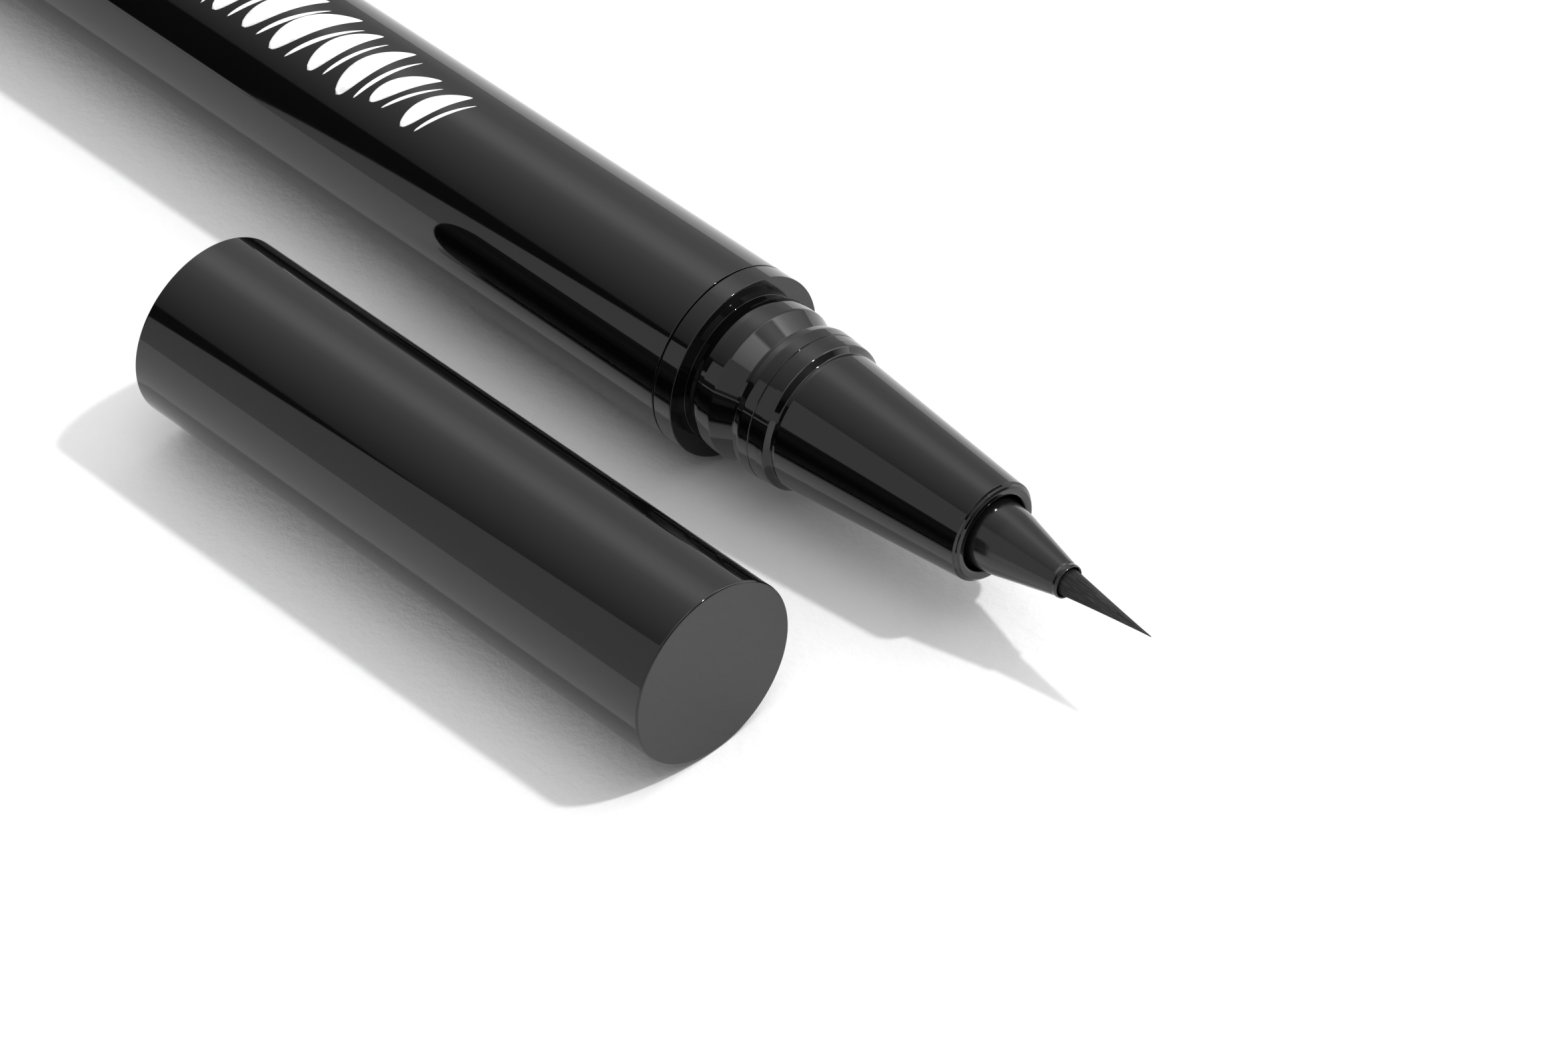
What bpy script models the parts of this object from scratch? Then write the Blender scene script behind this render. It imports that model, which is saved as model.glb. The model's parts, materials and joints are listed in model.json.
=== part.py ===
"""Brush-tip liquid pen, uncapped, with its pull-off cap lying beside it.

World frame: +X from the pen's tail to its tip, +Z up, the table at Z = 0 and the origin under the
middle of the bounding box. Every turned part is drawn as a half profile of (station, radius) points.
On the pen a station is the distance in front of the collar's front face, and on the cap it is the
distance from the cap's mouth. Both axes carry an empty whose local Z is that station.
"""

import math

import bpy

MM = 0.001

# Driving dimensions.
BODY_R = 6.0 * MM
PEN_LENGTH_BEHIND_COLLAR = 93.5 * MM
NOSE_LENGTH = 33.5 * MM
CAP_LENGTH = 43.5 * MM
AXIS_SPACING = 18.9 * MM
CAP_END_STATION = 17.1 * MM
COLLAR_BAND = 1.42 * MM
HAIRLINE = 0.1 * MM
FIT_GAP = 0.25 * MM
EDGE = 0.08 * MM

# Places that follow from them.
DATUM_X = (PEN_LENGTH_BEHIND_COLLAR - NOSE_LENGTH) / 2
PEN_Y = AXIS_SPACING / 2
CAP_Y = -AXIS_SPACING / 2
CAP_MOUTH_X = DATUM_X + CAP_END_STATION - CAP_LENGTH

# Barrel, tail plug and their seam.
BARREL_BORE_R = 5.25 * MM
TAIL_FLANGE = 1.4 * MM
TAIL_STATION = -PEN_LENGTH_BEHIND_COLLAR
TAIL_SPIGOT_R = BARREL_BORE_R - FIT_GAP / 2
TAIL_SPIGOT_LENGTH = 4.0 * MM

# Front section: collar, neck, bead and cone in one moulding.
NECK_R = 4.75 * MM
NECK_RIDGE_R = 4.98 * MM
NECK_RIDGE_STATION = 2.33 * MM
GROOVE_R = 4.44 * MM
GROOVE_STATION = 3.8 * MM
BEAD_REAR_R = 4.87 * MM
BEAD_LINE_STATION = 5.43 * MM
BEAD_FRONT_R = 4.99 * MM
BEAD_END_STATION = 6.9 * MM
CONE_START = (7.25 * MM, 4.47 * MM)
CONE_END = (20.66 * MM, 3.25 * MM)
MOUTH_RIM_CENTRE = (20.8 * MM, 2.78 * MM)
MOUTH_RIM_R = 0.3 * MM
SECTION_BORE_R = MOUTH_RIM_CENTRE[1] - MOUTH_RIM_R
SPIGOT_R = BARREL_BORE_R - FIT_GAP
SPIGOT_END = -14.0 * MM
SEAL_GROOVE_STATION = -8.6 * MM
SEAL_GROOVE_WIDTH = 1.2 * MM
SEAL_GROOVE_R = 4.4 * MM
COLLECTOR_BAY_R = 4.2 * MM
COLLECTOR_BAY_END = 1.0 * MM
HOLDER_BAY_R = 3.4 * MM
HOLDER_BAY_START = 2.0 * MM
HOLDER_SHOULDER = 9.0 * MM

# Tip holder, brush and wick.
HOLDER_FRONT = 27.0 * MM
HOLDER_LIP_R = 1.13 * MM
HOLDER_SHANK_R = 2.3 * MM
HOLDER_FLANGE_R = 3.25 * MM
HOLDER_FLANGE_FRONT = 8.8 * MM
HOLDER_FLANGE_REAR = 7.2 * MM
HOLDER_TAIL_R = 2.6 * MM
HOLDER_REAR = 5.5 * MM
HOLDER_BORE_R = 1.0 * MM
HOLDER_POCKET_R = 1.8 * MM
HOLDER_POCKET_END = 14.0 * MM
BRUSH_R = 0.94 * MM
BRUSH_POINT_R = 0.05 * MM
BRUSH_SWELL = 0.04 * MM
BRUSH_BUTT_R = 1.55 * MM
BRUSH_BUTT_FRONT = 13.7 * MM
BRUSH_BUTT_REAR = 11.5 * MM
BRUSH_SOCKET_R = 0.55 * MM
BRUSH_SOCKET_END = 16.5 * MM
WICK_R = 0.85 * MM
WICK_NEEDLE_R = 0.42 * MM
WICK_NEEDLE_END = 16.0 * MM
WICK_SHOULDER = 11.2 * MM
WICK_REAR = -24.0 * MM

# Collector with its row of fins.
COLLECTOR_FRONT = 5.2 * MM
COLLECTOR_BOSS_R = 3.0 * MM
COLLECTOR_BOSS_REAR = 2.4 * MM
COLLECTOR_CORE_R = 2.1 * MM
COLLECTOR_BORE_R = 1.05 * MM
FIN_R = 3.95 * MM
FIN_COUNT = 11
FIN_PITCH = 1.15 * MM
FIN_THICKNESS = 0.5 * MM
FIN_FRONT = 0.5 * MM
COLLECTOR_TAIL_R = 2.4 * MM
COLLECTOR_REAR = -20.0 * MM

# Ink tank, its seal and its plug, and the ball that stirs the ink.
TANK_R = 4.9 * MM
TANK_BORE_R = 4.3 * MM
TANK_FRONT = -14.4 * MM
TANK_REAR = -86.0 * MM
TANK_SEAL_FRONT = -15.0 * MM
TANK_SEAL_REAR = -17.5 * MM
TANK_SEAL_CLEARANCE = 0.1 * MM
TANK_PLUG_SPIGOT = 3.0 * MM
TANK_PLUG_FLANGE = 1.0 * MM
BALL_R = 1.5 * MM
BALL_STATION = -50.0 * MM
BALL_CLEARANCE = 0.1 * MM

# Cap shell, liner, sprung inner cap and spring.
CAP_FLOOR = 1.2 * MM
CAP_EDGE = 0.16 * MM
CAP_MOUTH_BORE_R = 5.08 * MM
CAP_SNAP_R = 4.88 * MM
CAP_SNAP_HALF_WIDTH = 0.45 * MM
CAP_BORE_R = 5.3 * MM
CAP_BORE_START = 8.7 * MM
LINER_R = 5.2 * MM
LINER_BORE_R = 4.75 * MM
LINER_LIP_R = 4.45 * MM
LINER_FRONT = 9.0 * MM
LINER_LIP_END = 9.8 * MM
LINER_END_GAP = 0.3 * MM
INNER_CAP_R = 4.62 * MM
INNER_CAP_RIM = 10.1 * MM
INNER_CAP_SEAT_R = 4.08 * MM
INNER_CAP_WAIST = 21.0 * MM
INNER_CAP_NARROW_R = 3.6 * MM
INNER_CAP_TIP_BORE_R = 3.0 * MM
INNER_CAP_BORE_END = 33.6 * MM
INNER_CAP_END = 34.6 * MM
SPRING_COIL_R = 2.6 * MM
SPRING_WIRE_R = 0.2 * MM
SPRING_TURNS = 6
SPRING_POINTS_PER_TURN = 10
SPRING_END_GAP = 0.3 * MM

# Facets round each kind of part.
VISIBLE_STEPS = 48
INNER_STEPS = 24
SMALL_STEPS = 16
SHARP_ANGLE = math.radians(30)


def clear_scene():
    for old in list(bpy.data.objects):
        bpy.data.objects.remove(old, do_unlink=True)


def make_collection(name):
    collection = bpy.data.collections.new(name)
    bpy.context.scene.collection.children.link(collection)
    return collection


def make_axis(name, x, y):
    """An empty on an axis of revolution, at radius height, whose local Z runs along world +X."""
    empty = bpy.data.objects.new(name, None)
    empty.location = (x, y, BODY_R)
    empty.rotation_euler = (0.0, math.pi / 2, 0.0)
    empty.empty_display_size = BODY_R
    PARTS.objects.link(empty)
    return empty


def finish(name, color, roughness, metallic=0.0, alpha=1.0):
    material = bpy.data.materials.new(name)
    material.use_nodes = True
    shader = material.node_tree.nodes["Principled BSDF"]
    shader.inputs["Base Color"].default_value = (*color, 1.0)
    shader.inputs["Roughness"].default_value = roughness
    shader.inputs["Metallic"].default_value = metallic
    shader.inputs["Alpha"].default_value = alpha
    return material


def arc(centre, radius, start, end, count):
    """Points of a profile arc. Angle 0 points to the front, 90 degrees away from the axis."""
    points = []
    for i in range(count + 1):
        angle = math.radians(start + (end - start) * i / count)
        station = centre[0] + radius * math.cos(angle)
        points.append((station, centre[1] + radius * math.sin(angle)))
    return points


def turned(name, axis, profile, material, closed=False, steps=INNER_STEPS):
    """A turned part from a half profile that runs along its outer side from the front to the rear.

    A closed profile makes a tube or a ring, and an open one starts and ends on the axis.
    """
    points = [(radius, 0.0, station) for station, radius in profile]
    edges = [(i, i + 1) for i in range(len(points) - 1)]
    if closed:
        edges.append((len(points) - 1, 0))
    mesh = bpy.data.meshes.new(name)
    mesh.from_pydata(points, edges, [])
    mesh.materials.append(material)
    part = bpy.data.objects.new(name, mesh)
    part.parent = axis
    PARTS.objects.link(part)
    screw = part.modifiers.new("Turn", "SCREW")
    screw.axis = "Z"
    screw.angle = 2 * math.pi
    screw.steps = steps
    screw.render_steps = steps
    screw.use_merge_vertices = True
    screw.merge_threshold = 0.001 * MM
    screw.use_smooth_shade = True
    return part


def make_barrel(axis):
    front = -COLLAR_BAND - HAIRLINE
    rear = TAIL_STATION + TAIL_FLANGE + HAIRLINE
    outer = [
        (front, BODY_R - EDGE),
        (front - EDGE, BODY_R),
        (rear + EDGE, BODY_R),
        (rear, BODY_R - EDGE),
    ]
    bore = [(rear, BARREL_BORE_R), (front, BARREL_BORE_R)]
    gloss_black = finish("barrel_gloss_black", (0.006, 0.006, 0.007), 0.08)
    turned("barrel", axis, outer + bore, gloss_black, closed=True, steps=VISIBLE_STEPS)


def make_tail_plug(axis):
    front = TAIL_STATION + TAIL_FLANGE
    profile = [
        (front + TAIL_SPIGOT_LENGTH, 0.0),
        (front + TAIL_SPIGOT_LENGTH, TAIL_SPIGOT_R - EDGE),
        (front + TAIL_SPIGOT_LENGTH - EDGE, TAIL_SPIGOT_R),
        (front, TAIL_SPIGOT_R),
        (front, BODY_R - EDGE),
        (front - EDGE, BODY_R),
        (TAIL_STATION + CAP_EDGE, BODY_R),
        (TAIL_STATION, BODY_R - CAP_EDGE),
        (TAIL_STATION, 0.0),
    ]
    plug_black = finish("tail_plug_black", (0.008, 0.008, 0.009), 0.18)
    turned("tail_plug", axis, profile, plug_black, steps=VISIBLE_STEPS)


def bead_profile():
    """Front to rear: shoulder, front land, hairline, rear land, down to the groove."""
    end = BEAD_END_STATION
    line = BEAD_LINE_STATION
    shoulder = [
        (end + 0.14 * MM, 4.53 * MM),
        (end, 4.66 * MM),
        (end - 0.02 * MM, 4.84 * MM),
        (end - 0.12 * MM, 4.94 * MM),
        (end - 0.35 * MM, BEAD_FRONT_R),
    ]
    lands = [
        (line + 0.06 * MM, 4.9 * MM),
        (line, 4.82 * MM),
        (line - 0.06 * MM, 4.88 * MM),
        (line - 0.7 * MM, BEAD_REAR_R),
        (line - 1.1 * MM, 4.8 * MM),
        (line - 1.36 * MM, 4.67 * MM),
        (line - 1.52 * MM, 4.53 * MM),
    ]
    return shoulder + lands + [(GROOVE_STATION, GROOVE_R)]


def neck_profile():
    """Front to rear: concave run out of the groove, the low ridge, then the straight neck."""
    ridge = NECK_RIDGE_STATION
    return [
        (GROOVE_STATION - 0.2 * MM, 4.47 * MM),
        (GROOVE_STATION - 0.6 * MM, 4.62 * MM),
        (GROOVE_STATION - 0.95 * MM, 4.82 * MM),
        (ridge + 0.25 * MM, 4.94 * MM),
        (ridge, NECK_RIDGE_R),
        (ridge - 0.25 * MM, 4.93 * MM),
        (ridge - 0.45 * MM, 4.81 * MM),
        (ridge - 0.65 * MM, NECK_R),
        (0.1 * MM, NECK_R),
        (0.0, NECK_R + 0.1 * MM),
    ]


def make_front_section(axis):
    rim = arc(MOUTH_RIM_CENTRE, MOUTH_RIM_R, -90, 90, 6)
    cone = [
        (MOUTH_RIM_CENTRE[0] - 0.04 * MM, CONE_END[1] - EDGE),
        CONE_END,
        CONE_START,
    ]
    collar = [
        (0.0, BODY_R - EDGE),
        (-EDGE, BODY_R),
        (-COLLAR_BAND + EDGE, BODY_R),
        (-COLLAR_BAND, BODY_R - EDGE),
        (-COLLAR_BAND, SPIGOT_R),
    ]
    groove_front = SEAL_GROOVE_STATION + SEAL_GROOVE_WIDTH / 2
    groove_rear = SEAL_GROOVE_STATION - SEAL_GROOVE_WIDTH / 2
    spigot = [
        (groove_front, SPIGOT_R),
        (groove_front, SEAL_GROOVE_R),
        (groove_rear, SEAL_GROOVE_R),
        (groove_rear, SPIGOT_R),
        (SPIGOT_END + 0.5 * MM, SPIGOT_R),
        (SPIGOT_END, SPIGOT_R - 0.3 * MM),
    ]
    bore = [
        (SPIGOT_END, COLLECTOR_BAY_R),
        (COLLECTOR_BAY_END, COLLECTOR_BAY_R),
        (HOLDER_BAY_START, HOLDER_BAY_R),
        (HOLDER_SHOULDER, HOLDER_BAY_R),
        (HOLDER_SHOULDER, SECTION_BORE_R),
    ]
    profile = rim + cone + bead_profile() + neck_profile() + collar + spigot + bore
    section_black = finish("section_gloss_black", (0.007, 0.007, 0.008), 0.07)
    turned("front_section", axis, profile, section_black, closed=True, steps=VISIBLE_STEPS)


def make_section_seal_ring(axis):
    middle = (SEAL_GROOVE_R + BARREL_BORE_R) / 2
    radius = (BARREL_BORE_R - SEAL_GROOVE_R) / 2 - 0.03 * MM
    profile = arc((SEAL_GROOVE_STATION, middle), radius, 0, 315, 7)
    rubber = finish("seal_ring_rubber", (0.02, 0.02, 0.02), 0.7)
    turned("section_seal_ring", axis, profile, rubber, closed=True)


def make_tip_holder(axis):
    profile = [
        (HOLDER_FRONT, HOLDER_BORE_R),
        (HOLDER_FRONT, HOLDER_LIP_R - 0.06 * MM),
        (HOLDER_FRONT - 0.06 * MM, HOLDER_LIP_R),
        (HOLDER_FRONT - 0.3 * MM, HOLDER_LIP_R + 0.02 * MM),
        (22.3 * MM, 2.12 * MM),
        (20.4 * MM, HOLDER_SHANK_R - 0.02 * MM),
        (19.6 * MM, HOLDER_SHANK_R),
        (HOLDER_FLANGE_FRONT, HOLDER_SHANK_R),
        (HOLDER_FLANGE_FRONT, HOLDER_FLANGE_R),
        (HOLDER_FLANGE_REAR, HOLDER_FLANGE_R),
        (HOLDER_FLANGE_REAR, HOLDER_TAIL_R),
        (HOLDER_REAR, HOLDER_TAIL_R),
        (HOLDER_REAR, HOLDER_POCKET_R),
        (HOLDER_POCKET_END, HOLDER_POCKET_R),
        (HOLDER_POCKET_END, HOLDER_BORE_R),
    ]
    satin_black = finish("tip_holder_satin_black", (0.012, 0.012, 0.012), 0.38)
    turned("tip_holder", axis, profile, satin_black, closed=True, steps=VISIBLE_STEPS)


def make_brush_tip(axis):
    """The bundle tapers to a fine point with a slight swell over a straight cone."""
    taper = []
    rings = 6
    for i in range(1, rings + 1):
        share = i / rings
        station = NOSE_LENGTH - (NOSE_LENGTH - HOLDER_FRONT) * share
        swell = BRUSH_SWELL * math.sin(math.pi * share)
        straight = BRUSH_POINT_R + (BRUSH_R - BRUSH_POINT_R) * share
        taper.append((station, straight + swell))
    profile = [
        (NOSE_LENGTH, 0.0),
        (NOSE_LENGTH - 0.08 * MM, BRUSH_POINT_R),
        *taper,
        (BRUSH_BUTT_FRONT, BRUSH_R),
        (BRUSH_BUTT_FRONT, BRUSH_BUTT_R),
        (BRUSH_BUTT_REAR, BRUSH_BUTT_R),
        (BRUSH_BUTT_REAR, BRUSH_SOCKET_R),
        (BRUSH_SOCKET_END, BRUSH_SOCKET_R),
        (BRUSH_SOCKET_END, 0.0),
    ]
    bristle_black = finish("brush_bristle_black", (0.015, 0.015, 0.016), 0.5)
    turned("brush_tip", axis, profile, bristle_black)


def make_relay_wick(axis):
    profile = [
        (WICK_NEEDLE_END, 0.0),
        (WICK_NEEDLE_END - 0.3 * MM, WICK_NEEDLE_R),
        (WICK_SHOULDER, WICK_NEEDLE_R),
        (WICK_SHOULDER, WICK_R),
        (WICK_REAR, WICK_R),
        (WICK_REAR, 0.0),
    ]
    fibre = finish("wick_inked_fibre", (0.02, 0.02, 0.022), 0.9)
    turned("relay_wick", axis, profile, fibre, steps=SMALL_STEPS)


def make_collector(axis):
    profile = [
        (COLLECTOR_FRONT, COLLECTOR_BORE_R),
        (COLLECTOR_FRONT, COLLECTOR_BOSS_R),
        (COLLECTOR_BOSS_REAR, COLLECTOR_BOSS_R),
        (COLLECTOR_BOSS_REAR, COLLECTOR_CORE_R),
    ]
    for i in range(FIN_COUNT):
        front = FIN_FRONT - i * FIN_PITCH
        rear = front - FIN_THICKNESS
        profile += [
            (front, COLLECTOR_CORE_R),
            (front, FIN_R),
            (rear, FIN_R),
            (rear, COLLECTOR_CORE_R),
        ]
    profile += [
        (TANK_SEAL_FRONT, COLLECTOR_CORE_R),
        (TANK_SEAL_FRONT, COLLECTOR_TAIL_R),
        (COLLECTOR_REAR, COLLECTOR_TAIL_R),
        (COLLECTOR_REAR, COLLECTOR_BORE_R),
    ]
    clear_grey = finish("collector_grey", (0.35, 0.36, 0.38), 0.4)
    turned("collector", axis, profile, clear_grey, closed=True)


def make_tank_seal(axis):
    outer = TANK_BORE_R - TANK_SEAL_CLEARANCE
    inner = COLLECTOR_TAIL_R + TANK_SEAL_CLEARANCE
    profile = [
        (TANK_SEAL_FRONT, inner),
        (TANK_SEAL_FRONT, outer),
        (TANK_SEAL_REAR, outer),
        (TANK_SEAL_REAR, inner),
    ]
    rubber = finish("tank_seal_rubber", (0.05, 0.05, 0.05), 0.75)
    turned("tank_seal", axis, profile, rubber, closed=True)


def make_ink_tank(axis):
    profile = [
        (TANK_FRONT, TANK_BORE_R),
        (TANK_FRONT, TANK_R),
        (TANK_REAR, TANK_R),
        (TANK_REAR, TANK_BORE_R),
    ]
    natural = finish("tank_natural_plastic", (0.75, 0.76, 0.76), 0.35, alpha=0.6)
    turned("ink_tank", axis, profile, natural, closed=True)


def make_tank_plug(axis):
    flange_front = TANK_REAR - HAIRLINE
    spigot_front = flange_front + TANK_PLUG_SPIGOT
    profile = [
        (spigot_front, 0.0),
        (spigot_front, TANK_BORE_R - FIT_GAP),
        (flange_front, TANK_BORE_R - FIT_GAP),
        (flange_front, TANK_R),
        (flange_front - TANK_PLUG_FLANGE, TANK_R),
        (flange_front - TANK_PLUG_FLANGE, 0.0),
    ]
    natural = finish("tank_plug_natural", (0.7, 0.7, 0.7), 0.4)
    turned("tank_plug", axis, profile, natural)


def make_mixing_ball():
    """The ball rests on the bottom of the tank's bore."""
    drop = TANK_BORE_R - BALL_R - BALL_CLEARANCE
    bpy.ops.mesh.primitive_uv_sphere_add(
        segments=16,
        ring_count=10,
        radius=BALL_R,
        location=(DATUM_X + BALL_STATION, PEN_Y, BODY_R - drop),
    )
    ball = bpy.context.object
    ball.name = "mixing_ball"
    ball.data.name = "mixing_ball"
    ball.data.materials.append(finish("ball_steel", (0.6, 0.6, 0.6), 0.2, metallic=1.0))
    ball.data.shade_smooth()
    for collection in list(ball.users_collection):
        collection.objects.unlink(ball)
    PARTS.objects.link(ball)


def make_cap_shell(axis):
    snap = GROOVE_STATION
    outer = [
        (CAP_LENGTH, 0.0),
        *reversed(arc((CAP_LENGTH - CAP_EDGE, BODY_R - CAP_EDGE), CAP_EDGE, 90, 0, 3)),
        *reversed(arc((CAP_EDGE, BODY_R - CAP_EDGE), CAP_EDGE, 180, 90, 3)),
    ]
    bore = [
        (0.0, CAP_MOUTH_BORE_R + 2 * EDGE),
        (2 * EDGE, CAP_MOUTH_BORE_R),
        (snap - CAP_SNAP_HALF_WIDTH, CAP_MOUTH_BORE_R),
        (snap, CAP_SNAP_R),
        (snap + CAP_SNAP_HALF_WIDTH, CAP_MOUTH_BORE_R),
        (CAP_BORE_START, CAP_MOUTH_BORE_R),
        (CAP_BORE_START, CAP_BORE_R),
        (CAP_LENGTH - CAP_FLOOR, CAP_BORE_R),
        (CAP_LENGTH - CAP_FLOOR, 0.0),
    ]
    gloss_black = finish("cap_gloss_black", (0.006, 0.006, 0.007), 0.09)
    turned("cap_shell", axis, outer + bore, gloss_black, steps=VISIBLE_STEPS)


def make_cap_liner(axis):
    rear = CAP_LENGTH - CAP_FLOOR - LINER_END_GAP
    profile = [
        (rear, LINER_BORE_R),
        (rear, LINER_R),
        (LINER_FRONT, LINER_R),
        (LINER_FRONT, LINER_LIP_R),
        (LINER_LIP_END, LINER_LIP_R),
        (LINER_LIP_END, LINER_BORE_R),
    ]
    white = finish("liner_natural_plastic", (0.55, 0.55, 0.55), 0.45)
    turned("cap_liner", axis, profile, white, closed=True, steps=VISIBLE_STEPS)


def make_inner_cap(axis):
    """A cup that seals on the cone: a tapered bore with a seat near its rim, then the brush's room."""
    outer = [
        (INNER_CAP_END, 0.0),
        (INNER_CAP_END, INNER_CAP_NARROW_R - 2 * EDGE),
        (INNER_CAP_END - 2 * EDGE, INNER_CAP_NARROW_R),
        (INNER_CAP_WAIST + 1.0 * MM, INNER_CAP_NARROW_R),
        (INNER_CAP_WAIST, INNER_CAP_R),
        (INNER_CAP_RIM, INNER_CAP_R),
    ]
    bore = [
        (INNER_CAP_RIM, 4.35 * MM),
        (INNER_CAP_RIM + 0.4 * MM, INNER_CAP_SEAT_R),
        (12.0 * MM, 4.05 * MM),
        (INNER_CAP_WAIST - 0.7 * MM, 3.5 * MM),
        (INNER_CAP_WAIST, INNER_CAP_TIP_BORE_R),
        (INNER_CAP_BORE_END, INNER_CAP_TIP_BORE_R),
        (INNER_CAP_BORE_END, 0.0),
    ]
    grey = finish("inner_cap_plastic", (0.45, 0.45, 0.46), 0.5)
    turned("inner_cap", axis, outer + bore, grey, steps=VISIBLE_STEPS)


def make_inner_cap_spring(axis):
    start = INNER_CAP_END + SPRING_END_GAP + SPRING_WIRE_R
    end = CAP_LENGTH - CAP_FLOOR - SPRING_END_GAP - SPRING_WIRE_R
    count = SPRING_TURNS * SPRING_POINTS_PER_TURN
    curve = bpy.data.curves.new("inner_cap_spring", "CURVE")
    curve.dimensions = "3D"
    curve.bevel_depth = SPRING_WIRE_R
    curve.bevel_resolution = 1
    curve.use_fill_caps = True
    coil = curve.splines.new("POLY")
    coil.points.add(count)
    for i, point in enumerate(coil.points):
        angle = 2 * math.pi * i / SPRING_POINTS_PER_TURN
        station = start + (end - start) * i / count
        x = SPRING_COIL_R * math.cos(angle)
        y = SPRING_COIL_R * math.sin(angle)
        point.co = (x, y, station, 1.0)
    curve.materials.append(finish("spring_steel", (0.55, 0.55, 0.56), 0.3, metallic=1.0))
    spring = bpy.data.objects.new("inner_cap_spring", curve)
    spring.parent = axis
    PARTS.objects.link(spring)


clear_scene()
PARTS = make_collection("brush_tip_pen")
pen_axis = make_axis("pen_axis", DATUM_X, PEN_Y)
cap_axis = make_axis("cap_axis", CAP_MOUTH_X, CAP_Y)

make_barrel(pen_axis)
make_tail_plug(pen_axis)
make_front_section(pen_axis)
make_section_seal_ring(pen_axis)
make_tip_holder(pen_axis)
make_brush_tip(pen_axis)
make_relay_wick(pen_axis)
make_collector(pen_axis)
make_tank_seal(pen_axis)
make_ink_tank(pen_axis)
make_tank_plug(pen_axis)
make_mixing_ball()

make_cap_shell(cap_axis)
make_cap_liner(cap_axis)
make_inner_cap(cap_axis)
make_inner_cap_spring(cap_axis)
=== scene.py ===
# %% [markdown]
# # A brush-tip pen and its cap
#
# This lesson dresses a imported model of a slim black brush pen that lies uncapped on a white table,
# with its cap beside it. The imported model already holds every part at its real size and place. The
# cells below add what a close look finds: polished skins with soft edges, single bristles, a printed
# pattern, and a studio whose reflections draw the shapes.

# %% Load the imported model
import json
import math

import bpy
from mathutils import Matrix, Vector

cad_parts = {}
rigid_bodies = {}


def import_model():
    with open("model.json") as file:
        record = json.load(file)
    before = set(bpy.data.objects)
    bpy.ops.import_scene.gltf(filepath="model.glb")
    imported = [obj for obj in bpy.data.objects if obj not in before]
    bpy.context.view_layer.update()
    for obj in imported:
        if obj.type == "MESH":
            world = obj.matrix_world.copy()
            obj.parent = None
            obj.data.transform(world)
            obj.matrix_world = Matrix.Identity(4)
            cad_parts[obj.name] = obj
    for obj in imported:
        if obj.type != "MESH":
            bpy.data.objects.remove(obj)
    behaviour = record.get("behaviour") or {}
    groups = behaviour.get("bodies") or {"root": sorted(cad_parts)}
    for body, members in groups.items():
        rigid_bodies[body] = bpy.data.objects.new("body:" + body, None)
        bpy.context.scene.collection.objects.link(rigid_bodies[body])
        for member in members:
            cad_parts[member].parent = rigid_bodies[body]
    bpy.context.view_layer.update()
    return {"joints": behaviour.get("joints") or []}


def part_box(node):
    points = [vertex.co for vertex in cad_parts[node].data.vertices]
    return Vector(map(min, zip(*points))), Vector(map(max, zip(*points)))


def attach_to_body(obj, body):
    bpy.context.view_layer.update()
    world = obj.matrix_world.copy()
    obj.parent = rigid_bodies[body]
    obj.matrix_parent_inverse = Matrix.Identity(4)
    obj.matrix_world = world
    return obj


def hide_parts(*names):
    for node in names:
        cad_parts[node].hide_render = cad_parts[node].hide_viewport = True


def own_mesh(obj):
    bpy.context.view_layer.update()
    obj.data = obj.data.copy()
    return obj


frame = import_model()

# %% [markdown]
# ## Where things are
#
# A turned part needs only an axis and a row of stations along it. On the pen a station is counted
# from the collar's front face, which is where the closed cap's mouth stops. On the cap it is
# counted from the mouth. Stations and radii are given in millimetres, as on a drawing, and become
# metres when a mesh is made.

# %% Axes and stations
MM = 0.001
COLLAR_BAND = 1.42
SEAM = 0.1

barrel_low, barrel_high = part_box("barrel")
brush_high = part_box("brush_tip")[1]
shell_low, shell_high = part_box("cap_shell")
BODY_R = (barrel_high.z - barrel_low.z) / 2 / MM
COLLAR_FACE_X = barrel_high.x + (COLLAR_BAND + SEAM) * MM
PEN_DATUM = Vector((COLLAR_FACE_X, barrel_low.y + BODY_R * MM, BODY_R * MM))
CAP_DATUM = Vector((shell_low.x, shell_low.y + BODY_R * MM, BODY_R * MM))
CAP_LENGTH = (shell_high.x - shell_low.x) / MM
TIP_STATION = (brush_high.x - PEN_DATUM.x) / MM
TAIL_STATION = (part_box("tail_plug")[0].x - PEN_DATUM.x) / MM


def stations(node, datum=PEN_DATUM):
    """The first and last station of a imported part, in millimetres from a datum."""
    low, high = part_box(node)
    return (low.x - datum.x) / MM, (high.x - datum.x) / MM


print(f"body radius {BODY_R:.2f} mm, cap length {CAP_LENGTH:.1f} mm")
print(f"tail at station {TAIL_STATION:.1f}, tip at station {TIP_STATION:.1f}")

# %% [markdown]
# ## The camera
#
# A long lens stands well back, so that a slim thing keeps its parallel sides. The camera looks down
# at about 44 degrees on a point on the table between the pen and the cap, and it is rolled a little,
# so that the pen runs down across the picture.

# %% Camera
LENS_MM = 190.7
SENSOR_MM = 36.0
VIEW_AZIMUTH = math.radians(49.36)
VIEW_ELEVATION = math.radians(44.08)
VIEW_ROLL = math.radians(-5.06)
VIEW_DISTANCE = 0.4902
AIM_STATION = 6.56
AIM_ASIDE = -3.56
AIM = Vector((PEN_DATUM.x + AIM_STATION * MM, PEN_DATUM.y + AIM_ASIDE * MM, 0.0))


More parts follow.
